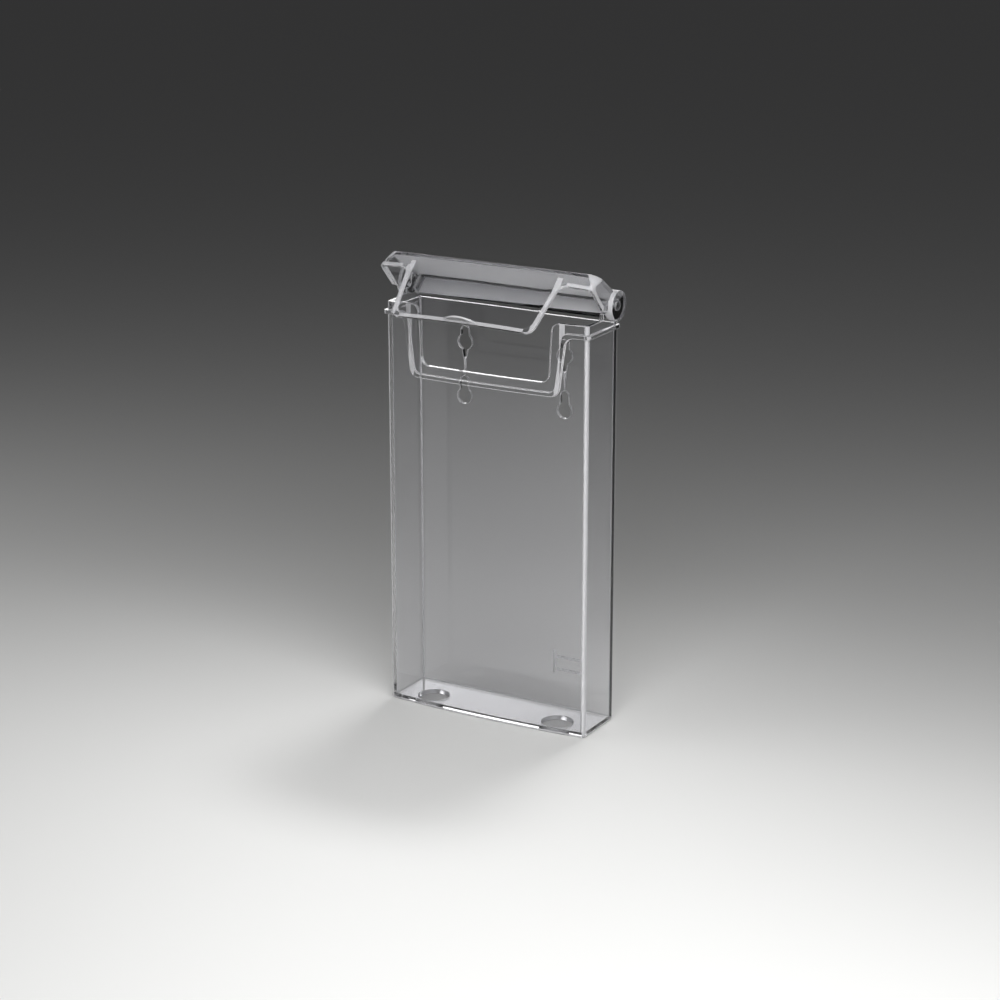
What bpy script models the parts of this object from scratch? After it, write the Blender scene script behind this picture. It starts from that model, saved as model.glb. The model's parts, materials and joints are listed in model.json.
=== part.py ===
"""Outdoor leaflet dispenser: a clear moulded pocket with a hinged rain lid, standing open.

The pocket and the lid are one moulding each. Stub pins on the pocket's two ears
snap into blind sockets in the lid's round side bosses, and the lid turns on them.
Lengths below are in millimetres; the meshes are made in metres.
The origin is the centre of the base, +Z is up and the front faces -Y.
"""
import math

import bmesh
import bpy
from mathutils import Vector

MM = 0.001

# Pocket
BODY_HALF_WIDTH = 59.0
BODY_DEPTH = 32.0
BACK_Y = BODY_DEPTH / 2
FRONT_CORNER_Y = -BODY_DEPTH / 2    # the front wall bows out past this line
BOW = 2.8                    # how far the middle of the front wall stands out
WALL = 2.3
FLOOR = 2.5
FRONT_TOP = 219.5            # top edge of the front wall
SIDE_TOP = 222.6             # top edge of the side walls, behind the front corner
BACK_TOP = 215.3             # top edge of the back wall
STEP_START = 0.6             # the top edge climbs from the front wall to the side walls
STEP_END = 5.0               # between these distances behind the front corner
CORNER_RADIUS = 1.3
CAVITY_RADIUS = 0.8

# Rib that runs round the pocket and under the scoop, and catches the lid's rim
RIB_TOP = 215.0
RIB_HEIGHT = 2.1
RIB_PROUD = 1.4
RIB_U_HALF_TOP = 46.3        # centre line of the rib's U at the rib's level
RIB_U_HALF_BOTTOM = 42.2
RIB_U_DROP = 32.2            # from the rib's top down to the centre line of the U's bottom
RIB_RADIUS_INSIDE = 4.0
RIB_RADIUS_OUTSIDE = 5.0
RIB_ROOT = 1.0               # how deep the front rib is rooted in the wall
SIDE_RIB_START = 0.5         # the side rib starts this far behind the front corner

# Scoop in the front wall, through which the leaflets are gripped
SCOOP_HALF_TOP = 38.9
SCOOP_HALF_BOTTOM = 37.2
SCOOP_DEPTH = 31.1
SCOOP_RADIUS = 4.6

# Openings in the back wall and the floor
KEYHOLE_X = 30.0
KEYHOLE_UPPER_Z = 195.0
KEYHOLE_LOWER_Z = 166.0
KEYHOLE_RADIUS = 4.2
SLOT_HALF_WIDTH = 2.3
LOWER_SLOT_RISE = 8.0        # circle centre to the slot's end centre
UPPER_SLOT_RISE = 6.2
UPPER_TAIL_DROP = 8.6        # circle centre to the tip of the narrow tail
TAIL_HALF_WIDTH = 0.7        # at the tip
TAIL_SPREAD = 20.0           # degrees from straight down to where the tail leaves the circle
DRAIN_X = 38.0
DRAIN_Y = -5.8
DRAIN_RADIUS = 8.4

# Hinge
PIVOT_Y = 8.2
PIVOT_Z = RIB_TOP + 10.9
BOSS_RADIUS = BACK_Y - PIVOT_Y
EAR_RADIUS = 3.0
EAR_CHAMFER = 1.2            # at the ear's front foot
EAR_REAR_RISE = 2.6          # the ear's rear foot over the back wall's top edge
PIN_RADIUS = 2.2
PIN_CLEARANCE = 0.3
OPEN_ANGLE = 47.5            # how far the lid stands open, in degrees

# Lid, closed, measured from the hinge axis
GAP = 0.35                   # between the lid's inner faces and the pocket
LID_WALL = 1.85
LID_HALF_INNER = BODY_HALF_WIDTH + GAP
LID_HALF_WIDTH = LID_HALF_INNER + LID_WALL
RIM_CLEARANCE = 0.3          # between the closed lid's rim and the rib
RIM_Z = RIB_TOP + RIM_CLEARANCE - PIVOT_Z
RIM_REAR_Y = -9.0            # the rim's rear end, in front of the boss
RIDGE_HEIGHT = 9.7           # from the rim up to the ridge over the front flange
FRONT_Y = FRONT_CORNER_Y - PIVOT_Y - GAP - LID_WALL
PANEL_SLOPE = 0.245          # rise of the top panel towards the rear
BOW_TOP_Z = FRONT_TOP + RIM_CLEARANCE - PIVOT_Z    # the front is fully bowed up to here
TONGUE_DROP = 30.6           # from the rim down to the tongue's edge
TONGUE_BOTTOM_Z = RIM_Z - TONGUE_DROP
TONGUE_HALF_TOP = 44.4
TONGUE_HALF_BOTTOM = 40.7
TONGUE_RADIUS = 4.8
TONGUE_ROOM = 8.0            # depth in which the tongue hangs below the rim
BEAD_PROUD = 0.8
BEAD_HEIGHT = 2.0
BEAD_REAR_Y = RIM_REAR_Y - 0.6
BEAD_ROOT = 1.0              # how deep the beads are rooted in the walls
EDGE_INSET = 0.3             # the walls' edge stands this far inside the beads' edge
BOSS_START_ANGLE = -118.0    # where the rim's slope meets the boss, in degrees
BOSS_END = 63.5              # outer face of the round side bosses
SOCKET_END = 62.1
REAR_WALL_Y = 5.0            # inner face of the lid's rear wall
REAR_WALL_BOTTOM = -4.8
EAR_ZONE_INNER = 56.2        # the rear wall stops here, short of the pocket's ears
EAR_ZONE_FRONT_Y = 3.5
END_WEB = 1.5                # plates that close the rear wall's ends
END_WEB_FRONT_Y = 1.0
TAB_HALF_WIDTH = 10.0
TAB_REACH = 4.5
TAB_THICKNESS = 1.8
TAB_LIFT = 0.1               # over the tongue's edge

BOW_STEPS = 20               # facets across the bowed front
ARC_STEP = 15.0              # degrees for each facet of a rounded corner
FAR = 80.0                   # past the part on every side, for cutters
PAST = 2.0                   # past a wall's face, for cutters that must stop in the cavity
HAIR = 0.02                  # keeps faces of two joined shapes from falling in one plane


def rounded(corners):
    """Turn (u, v, radius) corners into an outline whose corners are arcs."""
    outline = []
    count = len(corners)
    for index, (u, v, radius) in enumerate(corners):
        here = Vector((u, v))
        if radius == 0:
            outline.append(here)
            continue
        before = (Vector(corners[index - 1][:2]) - here).normalized()
        after = (Vector(corners[(index + 1) % count][:2]) - here).normalized()
        half_angle = before.angle(after) / 2
        centre = here + (before + after).normalized() * radius / math.sin(half_angle)
        start = here + before * radius / math.tan(half_angle) - centre
        end = here + after * radius / math.tan(half_angle) - centre
        turn = start.angle_signed(end)
        steps = max(2, round(abs(math.degrees(turn)) / ARC_STEP))
        for step in range(steps + 1):
            angle = -turn * step / steps
            spun = Vector((start.x * math.cos(angle) - start.y * math.sin(angle),
                           start.x * math.sin(angle) + start.y * math.cos(angle)))
            outline.append(centre + spun)
    return outline


def circle_arc(radius, start, end, steps):
    """Points on a circle round (0, 0), from one angle to another in degrees."""
    angles = [math.radians(start + (end - start) * step / steps) for step in range(steps + 1)]
    return [Vector((radius * math.cos(angle), radius * math.sin(angle))) for angle in angles]


def shifted(outline, du, dv):
    return [Vector((point[0] + du, point[1] + dv)) for point in outline]


def in_space(axis, u, v, along):
    """Place a flat point: X takes (y, z), Y takes (x, z) and Z takes (x, y)."""
    places = {"X": (along, u, v), "Y": (u, along, v), "Z": (u, v, along)}
    return Vector(places[axis]) * MM


def finish_mesh(name, bm):
    bmesh.ops.recalc_face_normals(bm, faces=bm.faces)
    mesh = bpy.data.meshes.new(name)
    bm.to_mesh(mesh)
    bm.free()
    obj = bpy.data.objects.new(name, mesh)
    bpy.context.scene.collection.objects.link(obj)
    return obj


def prism(name, outline, axis, low, high):
    """A closed solid: a flat outline extruded along an axis from low to high."""
    bm = bmesh.new()
    rings = [[bm.verts.new(in_space(axis, point[0], point[1], along)) for point in outline]
             for along in (low, high)]
    bm.faces.new(rings[0])
    bm.faces.new(rings[1])
    count = len(outline)
    for index in range(count):
        after = (index + 1) % count
        bm.faces.new((rings[0][index], rings[0][after], rings[1][after], rings[1][index]))
    return finish_mesh(name, bm)


def cylinder(name, axis, centre, radius, low, high, segments=32):
    ring = circle_arc(radius, 0, 360 - 360 / segments, segments - 1)
    return prism(name, shifted(ring, *centre), axis, low, high)


def bow(x):
    """How far the bowed front stands out at a place across the width."""
    return BOW * max(0.0, 1 - (x / BODY_HALF_WIDTH) ** 2)


def lid_front(x, z, outset):
    """The lid's front surface: bowed like the pocket's front, and straight at the ridge."""
    ridge = RIM_Z + RIDGE_HEIGHT
    share = (ridge - z) / (ridge - BOW_TOP_Z)
    return FRONT_Y - outset - bow(x) * min(1.0, max(0.0, share))


def front_slab(name, outset, back):
    """Everything behind the lid's front surface, as far as a flat back plane."""
    levels = (-FAR, BOW_TOP_Z, RIM_Z + RIDGE_HEIGHT, FAR)
    across = [BODY_HALF_WIDTH * (2 * step / BOW_STEPS - 1) for step in range(BOW_STEPS + 1)]
    across = [-FAR] + across + [FAR]
    bm = bmesh.new()
    front = [[bm.verts.new(Vector((x, lid_front(x, z, outset), z)) * MM) for x in across]
             for z in levels]
    rear = [[bm.verts.new(Vector((x, back, z)) * MM) for x in across] for z in levels]
    last_row = len(levels) - 1
    last_column = len(across) - 1
    for row in range(last_row):
        for column in range(last_column):
            for grid in (front, rear):
                bm.faces.new((grid[row][column], grid[row][column + 1],
                              grid[row + 1][column + 1], grid[row + 1][column]))
        for column in (0, last_column):
            bm.faces.new((front[row][column], rear[row][column],
                          rear[row + 1][column], front[row + 1][column]))
    for row in (0, last_row):
        for column in range(last_column):
            bm.faces.new((front[row][column], front[row][column + 1],
                          rear[row][column + 1], rear[row][column]))
    return finish_mesh(name, bm)


def combine(target, tool, operation):
    """Boolean the tool into the target; the tool stays as a hidden guide."""
    modifier = target.modifiers.new(tool.name, "BOOLEAN")
    modifier.operation = operation
    modifier.object = tool
    tool.hide_render = True
    tool.display_type = "WIRE"


def cut(target, *tools):
    for tool in tools:
        combine(target, tool, "DIFFERENCE")


def join(target, *tools):
    for tool in tools:
        combine(target, tool, "UNION")


def keep(target, *tools):
    for tool in tools:
        combine(target, tool, "INTERSECT")


def clear_plastic(name, colour):
    material = bpy.data.materials.new(name)
    material.use_nodes = True
    shader = material.node_tree.nodes["Principled BSDF"]
    shader.inputs["Base Color"].default_value = (*colour, 1.0)
    shader.inputs["Roughness"].default_value = 0.06
    shader.inputs["Metallic"].default_value = 0.0
    shader.inputs["Transmission Weight"].default_value = 0.9
    return material


def u_outline(half_end, level, half_top, half_bottom, bottom, radius):
    """The stepped lower line of the front: level, down one leg, across and up again."""
    return [(-half_end, level, 0), (-half_top, level, radius), (-half_bottom, bottom, radius),
            (half_bottom, bottom, radius), (half_top, level, radius), (half_end, level, 0)]


def closed_above(lower_line, top):
    """Close a lower line with a straight top edge."""
    left, right = lower_line[0][0], lower_line[-1][0]
    return rounded(lower_line + [(right, top, 0), (left, top, 0)])


def plan(outset, corner):
    """The pocket's plan, grown by outset at the front and sides."""
    half = BODY_HALF_WIDTH + outset
    back = BACK_Y + min(outset, 0.0)
    front = []
    for step in range(BOW_STEPS + 1):
        x = half * (1 - 2 * step / BOW_STEPS)
        radius = corner if step in (0, BOW_STEPS) else 0
        front.append((x, FRONT_CORNER_Y - outset - bow(x * BODY_HALF_WIDTH / half), radius))
    return rounded([(-half, back, corner), (half, back, corner)] + front)


def pocket_top_cutter():
    """Everything above the pocket's top edge, seen from the side, with the hinge ears."""
    ear = shifted(circle_arc(EAR_RADIUS, 180, 0, 12), PIVOT_Y, PIVOT_Z)
    slope_end = BACK_Y - WALL + RIM_CLEARANCE
    line = [Vector((-FAR, FRONT_TOP)), Vector((FRONT_CORNER_Y + STEP_START, FRONT_TOP)),
            Vector((FRONT_CORNER_Y + STEP_END, SIDE_TOP)),
            Vector((PIVOT_Y - EAR_RADIUS - EAR_CHAMFER, SIDE_TOP)),
            Vector((PIVOT_Y - EAR_RADIUS, SIDE_TOP + EAR_CHAMFER))]
    line += ear
    line += [Vector((PIVOT_Y + EAR_RADIUS, BACK_TOP + EAR_REAR_RISE)),
             Vector((slope_end, BACK_TOP)),
             Vector((FAR, BACK_TOP)), Vector((FAR, PIVOT_Z + FAR)), Vector((-FAR, PIVOT_Z + FAR))]
    return prism("guide_pocket_top", line, "X", -FAR, FAR)


def rib_band():
    """The front rib's outline: from corner to corner, dipping under the scoop."""
    centre_bottom = RIB_TOP - RIB_U_DROP
    half = RIB_HEIGHT / 2
    end = BODY_HALF_WIDTH + RIB_PROUD
    upper = u_outline(end, RIB_TOP, RIB_U_HALF_TOP - half, RIB_U_HALF_BOTTOM - half,
                      centre_bottom + half, RIB_RADIUS_INSIDE)
    lower = u_outline(end, RIB_TOP - RIB_HEIGHT, RIB_U_HALF_TOP + half, RIB_U_HALF_BOTTOM + half,
                      centre_bottom - half, RIB_RADIUS_OUTSIDE)
    return rounded(upper + lower[::-1])


def keyhole_outlines():
    """Outlines round the circle centre: plain keyhole below, one with a tail above."""
    side = math.degrees(math.asin(SLOT_HALF_WIDTH / KEYHOLE_RADIUS))
    slot_end = circle_arc(SLOT_HALF_WIDTH, 0, 180, 8)
    lower = shifted(slot_end, 0, LOWER_SLOT_RISE)
    lower += circle_arc(KEYHOLE_RADIUS, 90 + side, 450 - side, 24)
    upper = shifted(slot_end, 0, UPPER_SLOT_RISE)
    upper += circle_arc(KEYHOLE_RADIUS, 90 + side, 270 - TAIL_SPREAD, 10)
    upper += [Vector((-TAIL_HALF_WIDTH, -UPPER_TAIL_DROP)),
              Vector((TAIL_HALF_WIDTH, -UPPER_TAIL_DROP))]
    upper += circle_arc(KEYHOLE_RADIUS, 270 + TAIL_SPREAD, 450 - side, 10)
    return {"upper": (upper, KEYHOLE_UPPER_Z), "lower": (lower, KEYHOLE_LOWER_Z)}


def make_pocket():
    top = PIVOT_Z + EAR_RADIUS
    pocket = prism("pocket", plan(0.0, CORNER_RADIUS), "Z", 0.0, top)

    side_rib = prism("guide_side_rib", plan(RIB_PROUD, CORNER_RADIUS), "Z",
                     RIB_TOP - RIB_HEIGHT, RIB_TOP)
    corner = FRONT_CORNER_Y + SIDE_RIB_START
    back = BACK_Y - HAIR
    behind_corner = [(corner, 0.0), (back, 0.0), (back, top), (corner, top)]
    keep(side_rib, prism("guide_side_rib_reach", behind_corner, "X", -FAR, FAR))
    front_rib = prism("guide_front_rib", rib_band(), "Y", -FAR, FRONT_CORNER_Y + RIB_ROOT)
    keep(front_rib, prism("guide_front_rib_reach", plan(RIB_PROUD, CORNER_RADIUS), "Z", 0.0, top))
    join(pocket, side_rib, front_rib)

    cut(pocket, prism("guide_cavity", plan(-WALL, CAVITY_RADIUS), "Z", FLOOR, top + FAR),
        pocket_top_cutter())

    scoop = u_outline(FAR, FRONT_TOP, SCOOP_HALF_TOP, SCOOP_HALF_BOTTOM,
                      FRONT_TOP - SCOOP_DEPTH, SCOOP_RADIUS)
    cut(pocket, prism("guide_scoop", closed_above(scoop, top + FAR), "Y", -FAR, 0.0))

    for level, (outline, height) in keyhole_outlines().items():
        for side, x in (("left", -KEYHOLE_X), ("right", KEYHOLE_X)):
            cut(pocket, prism(f"guide_keyhole_{level}_{side}", shifted(outline, x, height),
                              "Y", BACK_Y - WALL - PAST, FAR))
    for side, sign in (("left", -1), ("right", 1)):
        cut(pocket, cylinder(f"guide_drain_{side}", "Z", (sign * DRAIN_X, DRAIN_Y),
                             DRAIN_RADIUS, -FAR, FLOOR + PAST))
        pin_root = sign * (BODY_HALF_WIDTH - WALL / 2)
        pin_tip = sign * (SOCKET_END - PIN_CLEARANCE)
        join(pocket, cylinder(f"guide_pin_{side}", "X", (PIVOT_Y, PIVOT_Z), PIN_RADIUS,
                              min(pin_root, pin_tip), max(pin_root, pin_tip), 24))
    pocket.data.materials.append(clear_plastic("pocket_plastic", (0.86, 0.87, 0.90)))
    return pocket


def panel_top(y):
    """Height of the lid's outer top face over the hinge axis, at a distance behind it."""
    ridge = RIM_Z + RIDGE_HEIGHT
    return ridge + (y - FRONT_Y) * PANEL_SLOPE


def lid_side_profile():
    """The lid's outline from the side, with room for the tongue below the rim."""
    slope_angle = math.degrees(math.atan(PANEL_SLOPE))
    offset = panel_top(0.0) * math.cos(math.radians(slope_angle))
    meets_boss = 90 + slope_angle - math.degrees(math.acos(offset / BOSS_RADIUS))
    boss = circle_arc(BOSS_RADIUS, BOSS_START_ANGLE, meets_boss, 20)
    tongue_back = FRONT_Y + TONGUE_ROOM
    return ([Vector((-FAR, -FAR)), Vector((tongue_back, -FAR)), Vector((tongue_back, RIM_Z)),
             Vector((RIM_REAR_Y, RIM_Z))] + boss + [Vector((-FAR, panel_top(-FAR)))])


def lid_hollow_profile():
    """The empty space under the top panel and in front of the rear wall."""
    ceiling = LID_WALL * math.hypot(1.0, PANEL_SLOPE)
    return [(-FAR, -2 * FAR), (-FAR, panel_top(-FAR) - ceiling),
            (REAR_WALL_Y, panel_top(REAR_WALL_Y) - ceiling), (REAR_WALL_Y, REAR_WALL_BOTTOM),
            (FAR, REAR_WALL_BOTTOM), (FAR, -2 * FAR)]


def front_outline(inset):
    """The lid's front view: full width at the rim, with the tongue hanging from its middle."""
    lower = u_outline(LID_HALF_WIDTH + BEAD_PROUD + PAST, RIM_Z + inset,
                      TONGUE_HALF_TOP - inset, TONGUE_HALF_BOTTOM - inset,
                      TONGUE_BOTTOM_Z + inset, TONGUE_RADIUS)
    return closed_above(lower, FAR)


def end_web(sign):
    """A plate that closes one end of the space in front of the rear wall."""
    root = LID_WALL / 2
    rear = REAR_WALL_Y + root
    outline = [(END_WEB_FRONT_Y, REAR_WALL_BOTTOM), (rear, REAR_WALL_BOTTOM),
               (rear, panel_top(REAR_WALL_Y) - root),
               (END_WEB_FRONT_Y, panel_top(END_WEB_FRONT_Y) - root)]
    ends = sorted((sign * (EAR_ZONE_INNER - END_WEB), sign * (EAR_ZONE_INNER - HAIR)))
    return prism(f"guide_end_web_{sign}", outline, "X", *ends)


def rim_bead(sign):
    """The proud bead along one side wall's lower edge."""
    outline = [(FRONT_Y, RIM_Z), (BEAD_REAR_Y, RIM_Z), (BEAD_REAR_Y, RIM_Z + BEAD_HEIGHT),
               (FRONT_Y, RIM_Z + BEAD_HEIGHT)]
    ends = sorted((sign * (LID_HALF_WIDTH - BEAD_ROOT), sign * (LID_HALF_WIDTH + BEAD_PROUD)))
    return prism(f"guide_rim_bead_{sign}", outline, "X", *ends)


def make_lid():
    """The lid, made closed with the hinge axis through its origin, then swung open."""
    lid = prism("lid", lid_side_profile(), "X", -LID_HALF_WIDTH, LID_HALF_WIDTH)
    keep(lid, front_slab("guide_front", 0.0, FAR),
         prism("guide_front_view", front_outline(EDGE_INSET), "Y", -FAR, FAR))
    hollow = prism("guide_hollow", lid_hollow_profile(), "X", -LID_HALF_INNER, LID_HALF_INNER)
    keep(hollow, front_slab("guide_front_inner", -LID_WALL, 2 * FAR))
    cut(lid, hollow)

    bead = prism("guide_front_bead", front_outline(0.0), "Y", -FAR, FAR)
    cut(bead, prism("guide_bead_inner", front_outline(BEAD_HEIGHT), "Y", -2 * FAR, 2 * FAR))
    reach = LID_HALF_WIDTH + BEAD_PROUD
    box = [(-reach, -2 * FAR), (reach, -2 * FAR), (reach, FAR / 2), (-reach, FAR / 2)]
    keep(bead, prism("guide_bead_reach", box, "Y", -2 * FAR, FRONT_Y + BEAD_ROOT),
         front_slab("guide_bead_front", BEAD_PROUD, FAR))
    cut(bead, front_slab("guide_bead_back", -LID_WALL / 2, 2 * FAR))
    join(lid, bead)

    for sign in (-1, 1):
        ear_zone = sorted((sign * EAR_ZONE_INNER, sign * LID_HALF_INNER))
        notch = [(EAR_ZONE_FRONT_Y, -FAR), (FAR, -FAR), (FAR, FAR), (EAR_ZONE_FRONT_Y, FAR)]
        cut(lid, prism(f"guide_ear_notch_{sign}", notch, "X", *ear_zone))
        join(lid, end_web(sign), rim_bead(sign),
             cylinder(f"guide_boss_{sign}", "X", (0, 0), BOSS_RADIUS - HAIR,
                      *sorted((sign * (LID_HALF_INNER + HAIR), sign * BOSS_END)), 48))
        cut(lid, cylinder(f"guide_socket_{sign}", "X", (0, 0), PIN_RADIUS + PIN_CLEARANCE,
                          *sorted((sign * (LID_HALF_INNER - PAST), sign * SOCKET_END)), 24))

    apex = lid_front(0.0, TONGUE_BOTTOM_Z, 0.0) - TAB_REACH
    root = lid_front(0.0, TONGUE_BOTTOM_Z, -LID_WALL / 2)
    radius = (TAB_HALF_WIDTH ** 2 + TAB_REACH ** 2) / (2 * TAB_REACH)
    sweep = math.degrees(math.asin(TAB_HALF_WIDTH / radius))
    tab = shifted(circle_arc(radius, -90 - sweep, -90 + sweep, 14), 0, apex + radius)
    tab += [Vector((TAB_HALF_WIDTH, root)), Vector((-TAB_HALF_WIDTH, root))]
    underside = TONGUE_BOTTOM_Z + TAB_LIFT
    join(lid, prism("guide_pull_tab", tab, "Z", underside, underside + TAB_THICKNESS))
    lid.data.materials.append(clear_plastic("lid_plastic", (0.87, 0.88, 0.91)))
    return lid


def hang_on_hinge(lid):
    """Put the lid and its guides on the hinge axis and swing them open."""
    hinge = bpy.data.objects.new("lid_hinge", None)
    bpy.context.scene.collection.objects.link(hinge)
    hinge.location = Vector((0.0, PIVOT_Y, PIVOT_Z)) * MM
    hinge.rotation_euler = (-math.radians(OPEN_ANGLE), 0.0, 0.0)
    for obj in lid:
        obj.parent = hinge


def main():
    for obj in list(bpy.data.objects):
        bpy.data.objects.remove(obj, do_unlink=True)
    make_pocket()
    pocket_objects = set(bpy.data.objects)
    make_lid()
    hang_on_hinge([obj for obj in bpy.data.objects if obj not in pocket_objects])


main()
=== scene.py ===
"""Outdoor leaflet dispenser: the finished mouldings of the clear pocket and its rain lid.

The pocket and the lid are made here with rounded edges, radii and raised marks, in the
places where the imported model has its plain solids, and ride on the same two bodies.
Lengths are in millimetres unless a name says otherwise. +Z is up, the front faces -Y.
"""
import json
import math

import bmesh
import bpy
from mathutils import Matrix, Vector


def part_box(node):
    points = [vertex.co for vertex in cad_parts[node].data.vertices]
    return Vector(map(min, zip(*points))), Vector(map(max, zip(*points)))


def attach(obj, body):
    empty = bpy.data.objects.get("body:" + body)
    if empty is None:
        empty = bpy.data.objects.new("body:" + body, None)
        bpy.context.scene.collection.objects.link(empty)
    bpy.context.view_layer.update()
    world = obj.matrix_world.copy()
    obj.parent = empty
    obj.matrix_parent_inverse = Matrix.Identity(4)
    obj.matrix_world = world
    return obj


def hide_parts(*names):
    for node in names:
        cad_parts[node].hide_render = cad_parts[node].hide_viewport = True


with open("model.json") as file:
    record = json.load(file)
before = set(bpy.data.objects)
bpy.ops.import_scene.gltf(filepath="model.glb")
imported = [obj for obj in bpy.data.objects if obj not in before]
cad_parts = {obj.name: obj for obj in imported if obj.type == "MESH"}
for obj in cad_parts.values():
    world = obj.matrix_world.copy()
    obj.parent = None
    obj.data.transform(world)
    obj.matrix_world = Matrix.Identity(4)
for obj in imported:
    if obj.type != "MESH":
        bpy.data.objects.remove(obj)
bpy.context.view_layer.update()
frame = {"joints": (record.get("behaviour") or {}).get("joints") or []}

HINGE = frame["joints"][0]
PIVOT = Vector(HINGE["pos_m"]) * 1000
OPEN_ANGLE = -math.radians(HINGE["range_deg"][0])
POCKET_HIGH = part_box("pocket")[1] * 1000

MM = 0.001

# Pocket: a box with a bowed front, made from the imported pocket's back
BACK_Y = POCKET_HIGH.y
BODY_HALF_WIDTH = 59.0
BODY_DEPTH = 32.0            # at the sides, where the front isn't bowed
FRONT_CORNER_Y = BACK_Y - BODY_DEPTH
BOW = 2.8                    # how far the middle of the front wall stands out
WALL = 2.3
FLOOR = 2.5
FRONT_TOP = 219.5
SIDE_TOP = 222.6
BACK_TOP = 215.3
STEP_START = 0.6             # the top edge climbs from the front wall to the side walls
STEP_END = 5.0               # between these distances behind the front corner
CORNER_RADIUS = 1.7
CAVITY_RADIUS = 0.8
BASE_RADIUS = 1.5            # round the outer bottom edge
CAVITY_FLOOR_RADIUS = 0.4

# Rib round the pocket, which dips under the scoop
RIB_TOP = 215.0
RIB_HEIGHT = 2.1
RIB_PROUD = 1.4
RIB_U_HALF_TOP = 46.3
RIB_U_HALF_BOTTOM = 42.2
RIB_U_DROP = 32.2
RIB_RADIUS_INSIDE = 4.0
RIB_RADIUS_OUTSIDE = 5.0
RIB_ROOT = 1.0               # depth of the front rib inside the wall
SIDE_RIB_START = 0.5
RIB_REAR_GAP = 0.6           # the side ribs end this far short of the back

# Scoop, keyholes and drains
SCOOP_HALF_TOP = 38.9
SCOOP_HALF_BOTTOM = 37.2
SCOOP_DEPTH = 31.1
SCOOP_RADIUS = 4.6
KEYHOLE_X = 30.0
KEYHOLE_UPPER_Z = 195.0
KEYHOLE_LOWER_Z = 166.0
KEYHOLE_RADIUS = 4.2
SLOT_HALF_WIDTH = 2.3
LOWER_SLOT_RISE = 8.0
UPPER_SLOT_RISE = 6.2
UPPER_TAIL_DROP = 8.6
TAIL_HALF_WIDTH = 0.7
TAIL_SPREAD = 20.0
DRAIN_X = 38.0
DRAIN_Y = -5.8
DRAIN_RADIUS = 8.4

# Plain moulding marks low on the back wall: a bar and two rows of dashes
MARK_X = 25.0
MARK_Z = 21.0
MARK_HEIGHT = 13.0
MARK_PROUD = 0.5
BAR_WIDTH = 0.4
DASH_LENGTH = 1.6
DASH_HEIGHT = 1.2
DASH_PITCH = 2.4
DASHES = 6
DASHES_FROM_BAR = 2.0
LOWER_ROW_RISE = 2.0         # over the bottom of the bar
UPPER_ROW_DROP = 4.0         # under its top

# Hinge
PIVOT_Y = PIVOT.y
PIVOT_Z = PIVOT.z
BOSS_RADIUS = BACK_Y - PIVOT_Y
EAR_RADIUS = 3.0
EAR_CHAMFER = 1.2
EAR_REAR_RISE = 2.6
PIN_RADIUS = 2.2
PIN_CLEARANCE = 0.3

# Lid, closed, measured from the hinge axis
GAP = 0.35                   # between the lid's inside and the pocket's outside
LID_WALL = 1.85
LID_HALF_INNER = BODY_HALF_WIDTH + GAP
LID_HALF_WIDTH = LID_HALF_INNER + LID_WALL
RIM_CLEARANCE = 0.3
RIM_Z = RIB_TOP + RIM_CLEARANCE - PIVOT_Z
RIM_REAR_Y = -9.0
RIDGE_Z = RIM_Z + 9.7        # the ridge between the front flange and the top panel
FRONT_Y = FRONT_CORNER_Y - PIVOT_Y - GAP - LID_WALL
PANEL_SLOPE = 0.245          # rise of the top panel towards the rear
BOW_TOP_Z = FRONT_TOP + RIM_CLEARANCE - PIVOT_Z
TONGUE_BOTTOM_Z = RIM_Z - 30.6
TONGUE_HALF_TOP = 44.4
TONGUE_HALF_BOTTOM = 40.7
TONGUE_RADIUS = 4.8
TONGUE_ROOM = 8.0
RIM_CORNER = 2.2             # plan radius of the front corners at the rim
RIDGE_CORNER = 5.5           # and at the ridge
CORNER_ROOM = 1.5            # in ridge corner radii, from the side to the bow's first point
CORNER_GROWTH = 0.6          # of the corners, for each millimetre that the plan is grown
SMALLEST_CORNER = 0.5
BEAD_PROUD = 0.8
BEAD_HEIGHT = 2.0
BEAD_REAR_Y = RIM_REAR_Y - 0.6    # the bead ends just short of the rim's rear end
BEAD_ROOT = 1.0              # depth of the bead inside the wall
EDGE_INSET = 0.9             # the wall's edge stays this far inside the bead
BOSS_END = 63.5
BARREL_RADIUS = BOSS_RADIUS - 0.5    # of the lid's rear edge between the bosses
BOSS_START_ANGLE = -118.0
SOCKET_END = 62.1
REAR_WALL_Y = 5.0
REAR_WALL_BOTTOM = -4.8
EAR_ZONE_INNER = 56.2
EAR_ZONE_FRONT_Y = 3.5
END_WEB = 1.5
END_WEB_FRONT_Y = 1.0
TAB_HALF_WIDTH = 10.0
TAB_REACH = 4.5
TAB_THICKNESS = 1.1
TAB_LIFT = 0.5

# Raised marks on the top panel: groups of plain chevrons
CHEVRON_GROUPS = 3
CHEVRONS_IN_GROUP = 3
CHEVRON_PITCH = 8.0
GROUP_PITCH = 33.0
CHEVRON_HALF = 2.6
CHEVRON_STROKE = 1.3
CHEVRON_DEPTH = CHEVRON_STROKE * 1.4    # of a slanting stroke, measured from front to rear
CHEVRON_PROUD = 0.6

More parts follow.
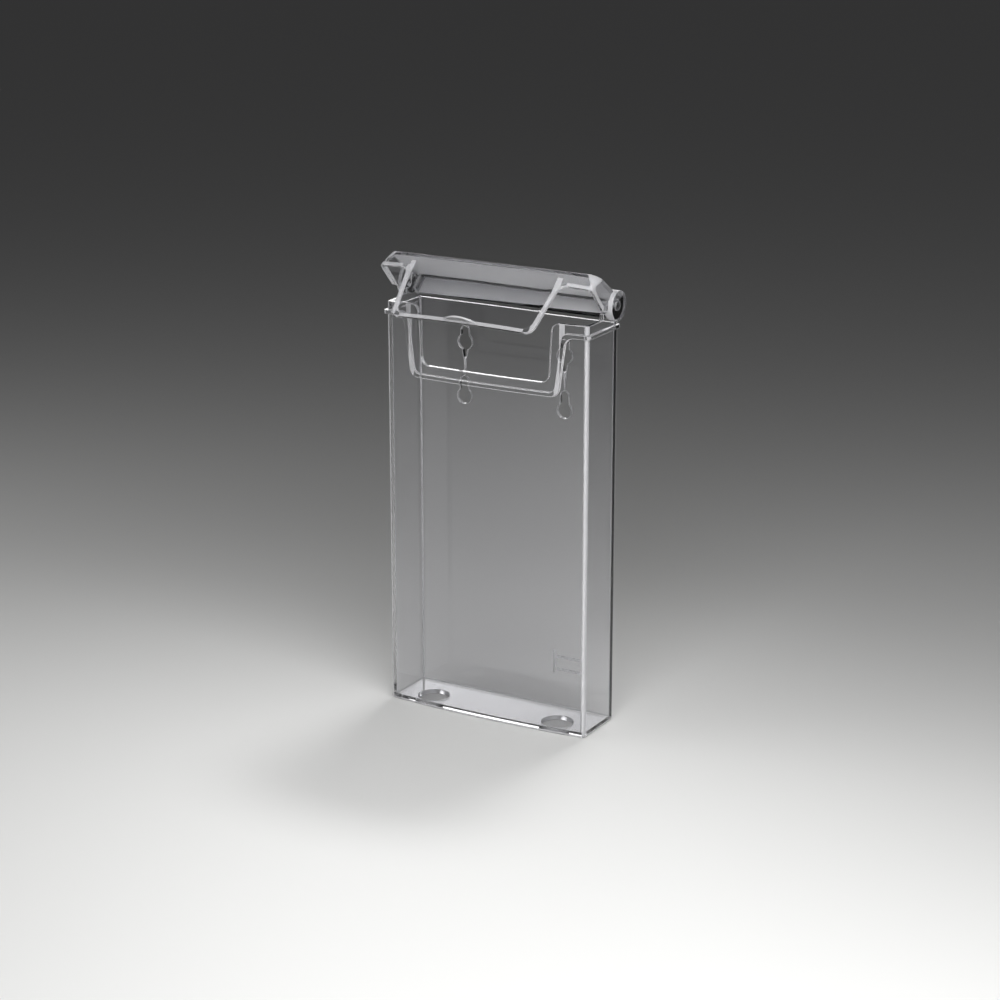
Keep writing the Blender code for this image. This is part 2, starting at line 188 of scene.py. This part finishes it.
# Finish
BOW_STEPS = 36
ARC_STEP = 15.0              # degrees for each pair of facets of a rounded corner
FLOOR_STEPS = 6              # facets of the rounded edge round a floor
EAR_STEPS = 24
SLOT_STEPS = 16
WHOLE_HOLE_STEPS = 40
HALF_HOLE_STEPS = 18
BARREL_STEPS = 40
TAB_STEPS = 32
PIN_SEGMENTS = 32
BOSS_SEGMENTS = 72
DRAIN_SEGMENTS = 64
WELD_DISTANCE = 0.005
FLAT_ANGLE = 0.02            # degrees between facets that count as one flat face
EDGE_RADIUS = 0.25           # on every edge that isn't rounded otherwise
EDGE_SEGMENTS = 2
EDGE_ANGLE = 32.0            # degrees; a sharper edge than this is rounded
FLAT_WEIGHT = 80             # how much the large faces rule the shading of the small ones
EDGE_FACE_WIDTH = 1.6        # a narrower face gets the painted highlight of the edges
PARALLEL = 0.97              # cosine for a face that counts as parallel to the panel
SIDEWAYS = 0.3               # a face that turns further to the side isn't the rear wall's
REAR_MARGIN = 0.1
FAR = 80.0                   # past the part on every side, for cutters
PAST = 2.0                   # past a face that a cutter opens
HAIR = 0.02                  # keeps two faces from lying in one plane

# Plastic
REFRACTION = 1.58
WAVE_SCALE = 45.0
WAVE_DETAIL = 1.0
WAVE_STRENGTH = 0.35
WAVE_DEPTH = 0.05
GRAIN_SCALE = 2600.0
GRAIN_DETAIL = 2.0
GRAIN_STRENGTH = 0.5
SMUDGE_SCALE = 90.0
SMUDGE_DETAIL = 3.0
NOISE_LOW = 0.3              # nearly all of a noise texture lies between these
NOISE_HIGH = 0.7
CLEAR = {"colour": (0.97, 0.97, 0.985), "roughness": (0.0, 0.03), "grain": 0.0005, "clearness": 1.0}
# Narrow edge faces: half diffuse near-white, a painted highlight that stands in for the bright edges
# of clear plastic
PAINTED_HIGHLIGHT_EDGE = {"colour": (0.97, 0.97, 1.0), "roughness": (0.0, 0.03), "grain": 0.0005, "clearness": 0.5}
GRAINED = {"colour": (0.95, 0.95, 0.97), "roughness": (0.45, 0.55), "grain": 0.02, "clearness": 0.25}

# Studio, in metres and degrees
FLOOR_HALF_SIZE = 9.0
FLOOR_DROP = 0.00005         # keeps the floor out of the plane of the pocket's base
FLOOR_COLOUR = (0.78, 0.78, 0.77)
FLOOR_ROUGHNESS = (0.30, 0.36)
FLOOR_NOISE_SCALE = 6.0
FLOOR_NOISE_DETAIL = 2.0
ROOM_COLOUR = (0.040, 0.040, 0.041)
CAMERA_PLACE = (0.64076, -1.10976, 0.51185)
CAMERA_TILT = 72.86          # 90 would look level
CAMERA_TURN = 30.03          # from the front, to the right
CAMERA_LENS = 92.45
CAMERA_SENSOR = 36.0


# ---------------------------------------------------------------- outlines

def rounded(corners):
    """Turn (u, v, radius) corners into an outline whose corners are arcs."""
    outline = []
    count = len(corners)
    for index, (u, v, radius) in enumerate(corners):
        here = Vector((u, v))
        if radius == 0:
            outline.append(here)
            continue
        before = (Vector(corners[index - 1][:2]) - here).normalized()
        after = (Vector(corners[(index + 1) % count][:2]) - here).normalized()
        half_angle = before.angle(after) / 2
        centre = here + (before + after).normalized() * radius / math.sin(half_angle)
        start = here + before * radius / math.tan(half_angle) - centre
        end = here + after * radius / math.tan(half_angle) - centre
        turn = start.angle_signed(end)
        steps = 2 * max(1, round(abs(math.degrees(turn)) / ARC_STEP))
        for step in range(steps + 1):
            angle = -turn * step / steps
            outline.append(centre + Matrix.Rotation(angle, 2) @ start)
    return outline


def circle_arc(radius, start, end, steps):
    """Points on a circle round (0, 0), from one angle to another in degrees."""
    angles = [math.radians(start + (end - start) * step / steps) for step in range(steps + 1)]
    return [Vector((radius * math.cos(angle), radius * math.sin(angle))) for angle in angles]


def shifted(outline, du, dv):
    return [Vector((point[0] + du, point[1] + dv)) for point in outline]


def u_outline(half_end, level, half_top, half_bottom, bottom, radius):
    """A stepped lower line: level, down one leg, across and up again."""
    return [(-half_end, level, 0), (-half_top, level, radius), (-half_bottom, bottom, radius),
            (half_bottom, bottom, radius), (half_top, level, radius), (half_end, level, 0)]


def closed_above(lower_line, top):
    left, right = lower_line[0][0], lower_line[-1][0]
    return rounded(lower_line + [(right, top, 0), (left, top, 0)])


# ---------------------------------------------------------------- solids

def finish_mesh(name, bm):
    bmesh.ops.recalc_face_normals(bm, faces=bm.faces)
    mesh = bpy.data.meshes.new(name)
    bm.to_mesh(mesh)
    bm.free()
    obj = bpy.data.objects.new(name, mesh)
    bpy.context.scene.collection.objects.link(obj)
    return obj


def loft(name, rings):
    """A closed solid through rings of (x, y, z) points, all of one count."""
    bm = bmesh.new()
    loops = [[bm.verts.new(Vector(point) * MM) for point in ring] for ring in rings]
    bm.faces.new(loops[0])
    bm.faces.new(loops[-1])
    count = len(loops[0])
    for low, high in zip(loops, loops[1:]):
        for index in range(count):
            after = (index + 1) % count
            bm.faces.new((low[index], low[after], high[after], high[index]))
    return finish_mesh(name, bm)


def in_space(axis, u, v, along):
    """Place a flat point: X takes (y, z), Y takes (x, z) and Z takes (x, y)."""
    return {"X": (along, u, v), "Y": (u, along, v), "Z": (u, v, along)}[axis]


def prism(name, outline, axis, low, high):
    return loft(name, [[in_space(axis, point[0], point[1], along) for point in outline]
                       for along in (low, high)])


def cylinder(name, axis, centre, radius, low, high, segments):
    ring = circle_arc(radius, 0, 360 - 360 / segments, segments - 1)
    return prism(name, shifted(ring, *centre), axis, low, high)


def combined(name, parts):
    """Several separate solids as one tool."""
    bm = bmesh.new()
    for part in parts:
        bm.from_mesh(part.data)
        bpy.data.objects.remove(part)
    return finish_mesh(name, bm)


def combine(target, tool, operation):
    """Boolean the tool into the target at once, and remove the tool."""
    modifier = target.modifiers.new("shape", "BOOLEAN")
    modifier.operation = operation
    modifier.object = tool
    apply_modifiers(target)
    bpy.data.objects.remove(tool)


def apply_modifiers(obj):
    bpy.context.view_layer.update()
    evaluated = obj.evaluated_get(bpy.context.evaluated_depsgraph_get())
    mesh = bpy.data.meshes.new_from_object(evaluated)
    obj.modifiers.clear()
    obj.data = mesh


def cut(target, *tools):
    for tool in tools:
        combine(target, tool, "DIFFERENCE")


def join(target, *tools):
    for tool in tools:
        combine(target, tool, "UNION")


def keep(target, *tools):
    for tool in tools:
        combine(target, tool, "INTERSECT")


def clean(obj):
    """Weld the seams that the cuts leave and merge the flat facets beside them."""
    bm = bmesh.new()
    bm.from_mesh(obj.data)
    bmesh.ops.remove_doubles(bm, verts=bm.verts, dist=WELD_DISTANCE * MM)
    bmesh.ops.dissolve_degenerate(bm, edges=bm.edges, dist=WELD_DISTANCE * MM)
    bmesh.ops.dissolve_limit(bm, angle_limit=math.radians(FLAT_ANGLE), verts=bm.verts,
                             edges=bm.edges, delimit={"MATERIAL"})
    bmesh.ops.recalc_face_normals(bm, faces=bm.faces)
    bm.to_mesh(obj.data)
    bm.free()


def soften_edges(obj):
    """Round every edge a little, as a mould does, and shade the flats flat."""
    bevel = obj.modifiers.new("edges", "BEVEL")
    bevel.width = EDGE_RADIUS * MM
    bevel.segments = EDGE_SEGMENTS
    bevel.limit_method = "ANGLE"
    bevel.angle_limit = math.radians(EDGE_ANGLE)
    bevel.use_clamp_overlap = False
    obj.data.shade_smooth()
    normals = obj.modifiers.new("normals", "WEIGHTED_NORMAL")
    normals.weight = FLAT_WEIGHT
    apply_modifiers(obj)


# ---------------------------------------------------------------- pocket

def bow(x):
    """How far the front wall stands out at x: most in the middle, nothing at the sides."""
    return BOW * max(0.0, 1 - (x / BODY_HALF_WIDTH) ** 2)


def plan(outset, corner):
    """The pocket's plan, grown by outset at the front and sides."""
    half = BODY_HALF_WIDTH + outset
    back = BACK_Y + min(outset, 0.0)
    front = [(half, FRONT_CORNER_Y - outset, corner)]
    inner = half - 2 * CORNER_RADIUS
    for step in range(BOW_STEPS + 1):
        x = inner * (1 - 2 * step / BOW_STEPS)
        front.append((x, FRONT_CORNER_Y - outset - bow(x * BODY_HALF_WIDTH / half), 0))
    front.append((-half, FRONT_CORNER_Y - outset, corner))
    return rounded([(-half, back, corner), (half, back, corner)] + front)


def rounded_tub(name, outset, corner, floor, floor_radius, top):
    """The pocket's plan from a floor with a rounded edge up to a flat top."""
    rings = []
    for step in range(FLOOR_STEPS + 1):
        angle = math.radians(90 * step / FLOOR_STEPS)
        inset = floor_radius * (1 - math.sin(angle))
        z = floor + floor_radius * (1 - math.cos(angle))
        rings.append([(point[0], point[1], z) for point in plan(outset - inset, corner)])
    rings.append([(point[0], point[1], top) for point in plan(outset, corner)])
    return loft(name, rings)


def pocket_top_cutter():
    """Everything above the pocket's top edge, seen from the side, with the hinge ears."""
    slope_end = BACK_Y - WALL + RIM_CLEARANCE
    line = [Vector((-FAR, FRONT_TOP)), Vector((FRONT_CORNER_Y + STEP_START, FRONT_TOP)),
            Vector((FRONT_CORNER_Y + STEP_END, SIDE_TOP)),
            Vector((PIVOT_Y - EAR_RADIUS - EAR_CHAMFER, SIDE_TOP)),
            Vector((PIVOT_Y - EAR_RADIUS, SIDE_TOP + EAR_CHAMFER))]
    line += shifted(circle_arc(EAR_RADIUS, 180, 0, EAR_STEPS), PIVOT_Y, PIVOT_Z)
    line += [Vector((PIVOT_Y + EAR_RADIUS, BACK_TOP + EAR_REAR_RISE)),
             Vector((slope_end, BACK_TOP)), Vector((FAR, BACK_TOP)),
             Vector((FAR, PIVOT_Z + FAR)), Vector((-FAR, PIVOT_Z + FAR))]
    return prism("pocket_top", line, "X", -FAR, FAR)


def rib_band():
    """The front rib's outline: from corner to corner, dipping under the scoop."""
    centre_bottom = RIB_TOP - RIB_U_DROP
    half = RIB_HEIGHT / 2
    end = BODY_HALF_WIDTH + RIB_PROUD
    upper = u_outline(end, RIB_TOP, RIB_U_HALF_TOP - half, RIB_U_HALF_BOTTOM - half,
                      centre_bottom + half, RIB_RADIUS_INSIDE)
    lower = u_outline(end, RIB_TOP - RIB_HEIGHT, RIB_U_HALF_TOP + half,
                      RIB_U_HALF_BOTTOM + half, centre_bottom - half, RIB_RADIUS_OUTSIDE)
    return rounded(upper + lower[::-1])


def keyhole_outlines():
    """Outlines round the circle centre: plain keyhole below, one with a tail above."""
    side = math.degrees(math.asin(SLOT_HALF_WIDTH / KEYHOLE_RADIUS))
    slot_end = circle_arc(SLOT_HALF_WIDTH, 0, 180, SLOT_STEPS)
    lower = shifted(slot_end, 0, LOWER_SLOT_RISE)
    lower += circle_arc(KEYHOLE_RADIUS, 90 + side, 450 - side, WHOLE_HOLE_STEPS)
    upper = shifted(slot_end, 0, UPPER_SLOT_RISE)
    upper += circle_arc(KEYHOLE_RADIUS, 90 + side, 270 - TAIL_SPREAD, HALF_HOLE_STEPS)
    upper += [Vector((-TAIL_HALF_WIDTH, -UPPER_TAIL_DROP)),
              Vector((TAIL_HALF_WIDTH, -UPPER_TAIL_DROP))]
    upper += circle_arc(KEYHOLE_RADIUS, 270 + TAIL_SPREAD, 450 - side, HALF_HOLE_STEPS)
    return ((upper, KEYHOLE_UPPER_Z), (lower, KEYHOLE_LOWER_Z))


def moulding_marks():
    """A thin bar with two rows of dashes beside it, on the inside of the back wall."""
    front = BACK_Y - WALL - MARK_PROUD
    rear = BACK_Y - WALL / 2
    shapes = [(MARK_X, MARK_Z, MARK_X + BAR_WIDTH, MARK_Z + MARK_HEIGHT)]
    for row_z in (MARK_Z + LOWER_ROW_RISE, MARK_Z + MARK_HEIGHT - UPPER_ROW_DROP):
        for dash in range(DASHES):
            left = MARK_X + DASHES_FROM_BAR + DASH_PITCH * dash
            shapes.append((left, row_z, left + DASH_LENGTH, row_z + DASH_HEIGHT))
    return combined("marks", [
        prism("mark", [(left, low), (right, low), (right, high), (left, high)], "Y", front, rear)
        for left, low, right, high in shapes])


def make_pocket():
    """The pocket: a hollow tub with its rib, hinge pins, marks, scoop and holes."""
    top = PIVOT_Z + EAR_RADIUS
    pocket = rounded_tub("pocket_moulding", 0.0, CORNER_RADIUS, 0.0, BASE_RADIUS, top)

    side_rib = prism("side_rib", plan(RIB_PROUD, CORNER_RADIUS), "Z",
                     RIB_TOP - RIB_HEIGHT, RIB_TOP)
    corner = FRONT_CORNER_Y + SIDE_RIB_START
    back = BACK_Y - RIB_REAR_GAP
    behind_corner = [(corner, 0.0), (back, 0.0), (back, top), (corner, top)]
    keep(side_rib, prism("reach", behind_corner, "X", -FAR, FAR))
    front_rib = prism("front_rib", rib_band(), "Y", -FAR, FRONT_CORNER_Y + RIB_ROOT)
    keep(front_rib, prism("reach", plan(RIB_PROUD, CORNER_RADIUS), "Z", 0.0, top))
    join(pocket, side_rib, front_rib)

    cut(pocket, rounded_tub("cavity", -WALL, CAVITY_RADIUS, FLOOR, CAVITY_FLOOR_RADIUS, top + FAR),
        pocket_top_cutter())

    pins = []
    for sign in (-1, 1):
        ends = (sign * (BODY_HALF_WIDTH - WALL / 2), sign * (SOCKET_END - PIN_CLEARANCE))
        pins.append(cylinder("pin", "X", (PIVOT_Y, PIVOT_Z), PIN_RADIUS, min(ends), max(ends),
                             PIN_SEGMENTS))
    join(pocket, combined("pins", pins), moulding_marks())

    scoop = u_outline(FAR, FRONT_TOP, SCOOP_HALF_TOP, SCOOP_HALF_BOTTOM,
                      FRONT_TOP - SCOOP_DEPTH, SCOOP_RADIUS)
    cut(pocket, prism("scoop", closed_above(scoop, top + FAR), "Y", -FAR, 0.0))

    holes = []
    for outline, height in keyhole_outlines():
        for x in (-KEYHOLE_X, KEYHOLE_X):
            holes.append(prism("keyhole", shifted(outline, x, height), "Y",
                               BACK_Y - WALL - PAST, FAR))
    for sign in (-1, 1):
        holes.append(cylinder("drain", "Z", (sign * DRAIN_X, DRAIN_Y), DRAIN_RADIUS,
                              -FAR, FLOOR + PAST, DRAIN_SEGMENTS))
    cut(pocket, combined("holes", holes))

    clean(pocket)
    soften_edges(pocket)
    return pocket


# ---------------------------------------------------------------- lid

def lid_front(x, z, outset):
    """The lid's front surface: bowed like the pocket's front, and straight at the ridge."""
    share = (RIDGE_Z - z) / (RIDGE_Z - BOW_TOP_Z)
    return FRONT_Y - outset - bow(x) * min(1.0, max(0.0, share))


def lid_block(name, outset, back):
    """The lid's plan at every height, grown by outset, back to a flat plane."""
    half = LID_HALF_WIDTH + outset
    inner = half - CORNER_ROOM * RIDGE_CORNER
    rings = []
    for z, radius in ((-FAR, RIM_CORNER), (BOW_TOP_Z, RIM_CORNER),
                      (RIDGE_Z, RIDGE_CORNER), (FAR, RIDGE_CORNER)):
        corner = max(radius + CORNER_GROWTH * outset, SMALLEST_CORNER)
        outline = [(-half, back, 0), (half, back, 0), (half, FRONT_Y - outset, corner)]
        for step in range(BOW_STEPS + 1):
            x = inner * (1 - 2 * step / BOW_STEPS)
            outline.append((x, lid_front(x, z, outset), 0))
        outline.append((-half, FRONT_Y - outset, corner))
        rings.append([(point[0], point[1], z) for point in rounded(outline)])
    return loft(name, rings)


def panel_top(y):
    """Height of the lid's outer top face over the hinge axis, at a distance behind it."""
    return RIDGE_Z + (y - FRONT_Y) * PANEL_SLOPE


def lid_side_profile():
    """The lid's outline from the side, with room for the tongue below the rim."""
    slope_angle = math.degrees(math.atan(PANEL_SLOPE))
    offset = panel_top(0.0) * math.cos(math.radians(slope_angle))
    meets_barrel = 90 + slope_angle - math.degrees(math.acos(offset / BARREL_RADIUS))
    barrel = circle_arc(BARREL_RADIUS, BOSS_START_ANGLE, meets_barrel, BARREL_STEPS)
    tongue_back = FRONT_Y + TONGUE_ROOM
    return ([Vector((-FAR, -FAR)), Vector((tongue_back, -FAR)), Vector((tongue_back, RIM_Z)),
             Vector((RIM_REAR_Y, RIM_Z))] + barrel + [Vector((-FAR, panel_top(-FAR)))])


def lid_hollow_profile():
    """The empty space under the top panel and in front of the rear wall."""
    ceiling = LID_WALL * math.hypot(1.0, PANEL_SLOPE)
    return [(-FAR, -2 * FAR), (-FAR, panel_top(-FAR) - ceiling),
            (REAR_WALL_Y, panel_top(REAR_WALL_Y) - ceiling), (REAR_WALL_Y, REAR_WALL_BOTTOM),
            (FAR, REAR_WALL_BOTTOM), (FAR, -2 * FAR)]


def front_outline(inset):
    """The lid's front view: full width at the rim, with the tongue hanging from its middle."""
    lower = u_outline(LID_HALF_WIDTH + BEAD_PROUD + PAST, RIM_Z + inset,
                      TONGUE_HALF_TOP - inset, TONGUE_HALF_BOTTOM - inset,
                      TONGUE_BOTTOM_Z + inset, TONGUE_RADIUS)
    return closed_above(lower, FAR)


def end_web(sign):
    """A plate that closes one end of the space in front of the rear wall."""
    root = LID_WALL / 2
    rear = REAR_WALL_Y + root
    outline = [(END_WEB_FRONT_Y, REAR_WALL_BOTTOM), (rear, REAR_WALL_BOTTOM),
               (rear, panel_top(REAR_WALL_Y) - root),
               (END_WEB_FRONT_Y, panel_top(END_WEB_FRONT_Y) - root)]
    ends = sorted((sign * (EAR_ZONE_INNER - END_WEB), sign * (EAR_ZONE_INNER - HAIR)))
    return prism("end_web", outline, "X", *ends)


def rim_bead(sign):
    """The proud bead along one side wall's lower edge, running into the front bead."""
    front = FRONT_Y + RIM_CORNER
    outline = [(front, RIM_Z), (BEAD_REAR_Y, RIM_Z), (BEAD_REAR_Y, RIM_Z + BEAD_HEIGHT),
               (front, RIM_Z + BEAD_HEIGHT)]
    ends = sorted((sign * (LID_HALF_WIDTH - BEAD_ROOT), sign * (LID_HALF_WIDTH + BEAD_PROUD)))
    return prism("rim_bead", outline, "X", *ends)


def front_bead():
    """The proud bead that follows the rim, the tongue and its corners."""
    bead = prism("front_bead", front_outline(0.0), "Y", -FAR, FAR)
    cut(bead, prism("bead_inner", front_outline(BEAD_HEIGHT), "Y", -2 * FAR, 2 * FAR))
    reach = LID_HALF_WIDTH + BEAD_PROUD
    box = [(-reach, -2 * FAR), (reach, -2 * FAR), (reach, FAR / 2), (-reach, FAR / 2)]
    keep(bead, prism("bead_reach", box, "Y", -2 * FAR, FRONT_Y + RIM_CORNER + BEAD_ROOT),
         lid_block("bead_front", BEAD_PROUD, FAR))
    cut(bead, lid_block("bead_back", -LID_WALL / 2, 2 * FAR))
    return bead


def pull_tab():
    """The half-moon under the tongue, for a finger."""
    apex = lid_front(0.0, TONGUE_BOTTOM_Z, 0.0) - TAB_REACH
    root = lid_front(0.0, TONGUE_BOTTOM_Z, -LID_WALL / 2)
    radius = (TAB_HALF_WIDTH ** 2 + TAB_REACH ** 2) / (2 * TAB_REACH)
    sweep = math.degrees(math.asin(TAB_HALF_WIDTH / radius))
    tab = shifted(circle_arc(radius, -90 - sweep, -90 + sweep, TAB_STEPS), 0, apex + radius)
    tab += [Vector((TAB_HALF_WIDTH, root)), Vector((-TAB_HALF_WIDTH, root))]
    underside = TONGUE_BOTTOM_Z + TAB_LIFT
    return prism("pull_tab", tab, "Z", underside, underside + TAB_THICKNESS)


def panel_marks():
    """Raised chevrons along the middle of the top panel, pointing to the front."""
    middle = (FRONT_Y + RIM_REAR_Y + BOSS_RADIUS) / 2
    slope = Matrix.Rotation(math.atan(PANEL_SLOPE), 4, "X")
    marks = []
    for group in range(CHEVRON_GROUPS):
        for index in range(CHEVRONS_IN_GROUP):
            x = (GROUP_PITCH * (group - (CHEVRON_GROUPS - 1) / 2)
                 + CHEVRON_PITCH * (index - (CHEVRONS_IN_GROUP - 1) / 2))
            outline = [(-CHEVRON_HALF, CHEVRON_HALF), (0, 0), (CHEVRON_HALF, CHEVRON_HALF),
                       (CHEVRON_HALF, CHEVRON_HALF - CHEVRON_DEPTH), (0, -CHEVRON_DEPTH),
                       (-CHEVRON_HALF, CHEVRON_HALF - CHEVRON_DEPTH)]
            mark = prism("chevron", outline, "Z", -LID_WALL / 2, CHEVRON_PROUD)
            place = Matrix.Translation(Vector((x, middle, panel_top(middle))) * MM)
            mark.data.transform(place @ slope)
            marks.append(mark)
    return combined("panel_marks", marks)


def make_lid():
    """The lid, made closed, with the hinge axis through its origin."""
    lid = prism("lid_moulding", lid_side_profile(), "X", -LID_HALF_WIDTH, LID_HALF_WIDTH)
    keep(lid, lid_block("front", 0.0, FAR),
         prism("front_view", front_outline(EDGE_INSET), "Y", -FAR, FAR))
    hollow = prism("hollow", lid_hollow_profile(), "X", -LID_HALF_INNER, LID_HALF_INNER)
    keep(hollow, lid_block("front_inner", -LID_WALL, 2 * FAR))
    cut(lid, hollow)
    join(lid, front_bead())

    for sign in (-1, 1):
        ear_zone = sorted((sign * EAR_ZONE_INNER, sign * LID_HALF_INNER))
        notch = [(EAR_ZONE_FRONT_Y, -FAR), (FAR, -FAR), (FAR, FAR), (EAR_ZONE_FRONT_Y, FAR)]
        cut(lid, prism("ear_notch", notch, "X", *ear_zone))
        join(lid, end_web(sign), rim_bead(sign),
             cylinder("boss", "X", (0, 0), BOSS_RADIUS,
                      *sorted((sign * (LID_HALF_INNER + HAIR), sign * BOSS_END)), BOSS_SEGMENTS))
        cut(lid, cylinder("socket", "X", (0, 0), PIN_RADIUS + PIN_CLEARANCE,
                          *sorted((sign * (LID_HALF_INNER - PAST), sign * SOCKET_END)),
                          PIN_SEGMENTS))
    join(lid, pull_tab(), panel_marks())
    clean(lid)
    soften_edges(lid)
    return lid


def grain_the_panel(lid, grained_index):
    """Give the top panel and the rear wall, inside and out, the grained finish."""
    panel_up = Vector((0, -PANEL_SLOPE, 1)).normalized()
    for face in lid.data.polygons:
        middle = face.center / MM
        on_panel = abs(face.normal.dot(panel_up)) > PARALLEL and middle.z > RIM_Z + BEAD_HEIGHT
        on_rear = (middle.y > REAR_WALL_Y - REAR_MARGIN and middle.z < panel_top(REAR_WALL_Y)
                   and abs(face.normal.x) < SIDEWAYS)
        if (on_panel or on_rear) and abs(middle.x) < LID_HALF_INNER:
            face.material_index = grained_index


def paint_edge_highlights(obj, highlight_index):
    """Paint a highlight on the narrow faces, mostly those round edges, rims and holes: a half-diffuse
    near-white material that stands in for the bright edges of clear plastic.
    """
    for face in obj.data.polygons:
        corners = [obj.data.vertices[index].co for index in face.vertices]
        longest = max((a - b).length for a, b in zip(corners, corners[1:] + corners[:1]))
        if face.area / longest < EDGE_FACE_WIDTH * MM:
            face.material_index = highlight_index


def swing_open(lid):
    """Move the closed lid from the origin to the hinge, open as the frame has it at rest."""
    place = Matrix.Translation(PIVOT * MM) @ Matrix.Rotation(-OPEN_ANGLE, 4, "X")
    lid.data.transform(place)


# ---------------------------------------------------------------- materials

def new_material(name):
    material = bpy.data.materials.new(name)
    material.use_nodes = True
    tree = material.node_tree
    return material, tree, tree.nodes["Principled BSDF"]


def noise(tree, scale, detail, coordinates):
    texture = tree.nodes.new("ShaderNodeTexNoise")
    texture.inputs["Scale"].default_value = scale
    texture.inputs["Detail"].default_value = detail
    tree.links.new(coordinates.outputs["Object"], texture.inputs["Vector"])
    return texture


def spread(tree, source, low, high):
    """Spread a noise over a small range."""
    remap = tree.nodes.new("ShaderNodeMapRange")
    remap.inputs["From Min"].default_value = NOISE_LOW
    remap.inputs["From Max"].default_value = NOISE_HIGH
    remap.inputs["To Min"].default_value = low
    remap.inputs["To Max"].default_value = high
    tree.links.new(source.outputs["Fac"], remap.inputs["Value"])
    return remap


def bump(tree, height, strength, depth, below=None):
    """A bump from a noise, laid over the bump below it if there is one."""
    node = tree.nodes.new("ShaderNodeBump")
    node.inputs["Strength"].default_value = strength
    node.inputs["Distance"].default_value = depth * MM
    tree.links.new(height.outputs["Fac"], node.inputs["Height"])
    if below:
        tree.links.new(below.outputs["Normal"], node.inputs["Normal"])
    return node


def polystyrene(name, colour, roughness, grain, clearness):
    """Moulded polystyrene: slow waves from the mould's flow, and a fine grain."""
    material, tree, shader = new_material(name)
    coordinates = tree.nodes.new("ShaderNodeTexCoord")
    waves = noise(tree, WAVE_SCALE, WAVE_DETAIL, coordinates)
    specks = noise(tree, GRAIN_SCALE, GRAIN_DETAIL, coordinates)
    smudge = noise(tree, SMUDGE_SCALE, SMUDGE_DETAIL, coordinates)
    slow = bump(tree, waves, WAVE_STRENGTH, WAVE_DEPTH)
    fine = bump(tree, specks, GRAIN_STRENGTH, grain, slow)
    wear = spread(tree, smudge, *roughness)
    tree.links.new(fine.outputs["Normal"], shader.inputs["Normal"])
    tree.links.new(wear.outputs["Result"], shader.inputs["Roughness"])
    shader.inputs["Base Color"].default_value = (*colour, 1.0)
    shader.inputs["Metallic"].default_value = 0.0
    shader.inputs["IOR"].default_value = REFRACTION
    shader.inputs["Transmission Weight"].default_value = clearness
    return material


def pale_floor():
    material, tree, shader = new_material("pale_floor")
    coordinates = tree.nodes.new("ShaderNodeTexCoord")
    patches = noise(tree, FLOOR_NOISE_SCALE, FLOOR_NOISE_DETAIL, coordinates)
    wear = spread(tree, patches, *FLOOR_ROUGHNESS)
    tree.links.new(wear.outputs["Result"], shader.inputs["Roughness"])
    shader.inputs["Base Color"].default_value = (*FLOOR_COLOUR, 1.0)
    shader.inputs["Specular IOR Level"].default_value = 0.0
    return material


def dress(obj, *materials):
    """Give a mesh these materials and no others; all its faces start with the first one."""
    obj.data.materials.clear()
    for material in materials:
        obj.data.materials.append(material)


# ---------------------------------------------------------------- studio

def make_floor():
    bm = bmesh.new()
    bmesh.ops.create_grid(bm, x_segments=1, y_segments=1, size=FLOOR_HALF_SIZE)
    floor = finish_mesh("floor", bm)
    floor.location = (0.0, 0.0, -FLOOR_DROP)
    dress(floor, pale_floor())


def softbox(name, place, target, size, watts, beam=180.0):
    """A rectangular light turned to a target point; the beam is its full angle."""
    light = bpy.data.lights.new(name, "AREA")
    light.shape = "RECTANGLE"
    light.size = size[0]
    light.size_y = size[1]
    light.energy = watts
    light.spread = math.radians(beam)
    obj = bpy.data.objects.new(name, light)
    bpy.context.scene.collection.objects.link(obj)
    obj.location = place
    aim = Vector(target) - Vector(place)
    obj.rotation_euler = aim.to_track_quat("-Z", "Y").to_euler()
    obj.visible_camera = False


def make_lights():
    """Two wide lights over the floor, and two narrow beams that the plastic catches."""
    softbox("key", place=(0.55, -0.60, 0.47), target=(0.55, -0.57, 0.0),
            size=(1.0, 1.0), watts=9.2)
    softbox("left", place=(-0.55, -0.35, 0.50), target=(-0.50, -0.33, 0.0),
            size=(0.50, 0.50), watts=1.3)
    softbox("rear", place=(-0.72, 1.20, 0.52), target=(0.0, 0.0, 0.15),
            size=(1.30, 0.38), watts=0.11, beam=24.0)
    softbox("top", place=(0.0, 0.55, 1.25), target=(0.0, 0.0, 0.24),
            size=(0.45, 0.25), watts=0.18, beam=24.0)
    world = bpy.data.worlds.new("studio")
    bpy.context.scene.world = world
    world.use_nodes = True
    background = world.node_tree.nodes["Background"]
    background.inputs["Color"].default_value = (*ROOM_COLOUR, 1.0)


def make_camera():
    """The viewpoint: 30 degrees to the right of the front and 17 degrees above level."""
    camera = bpy.data.cameras.new("camera")
    camera.sensor_width = CAMERA_SENSOR
    camera.lens = CAMERA_LENS
    obj = bpy.data.objects.new("camera", camera)
    bpy.context.scene.collection.objects.link(obj)
    obj.location = CAMERA_PLACE
    obj.rotation_euler = (math.radians(CAMERA_TILT), 0.0, math.radians(CAMERA_TURN))
    bpy.context.scene.camera = obj


def main():
    make_camera()
    make_floor()
    make_lights()
    bpy.context.scene.view_settings.view_transform = "Standard"

    pocket = make_pocket()
    dress(pocket, polystyrene("clear_pocket", **CLEAR),
          polystyrene("painted_highlight_edge_pocket", **PAINTED_HIGHLIGHT_EDGE))
    # the pocket's narrow edge faces get the painted highlight: near-white, half diffuse
    paint_edge_highlights(pocket, 1)
    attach(pocket, "pocket")
    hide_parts("pocket")

    lid = make_lid()
    dress(lid, polystyrene("clear_lid", **CLEAR), polystyrene("grained_lid", **GRAINED),
          polystyrene("painted_highlight_edge_lid", **PAINTED_HIGHLIGHT_EDGE))
    grain_the_panel(lid, 1)
    # the lid's narrow edge faces get the painted highlight: near-white, half diffuse
    paint_edge_highlights(lid, 2)
    swing_open(lid)
    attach(lid, "lid")
    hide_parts("lid")


main()
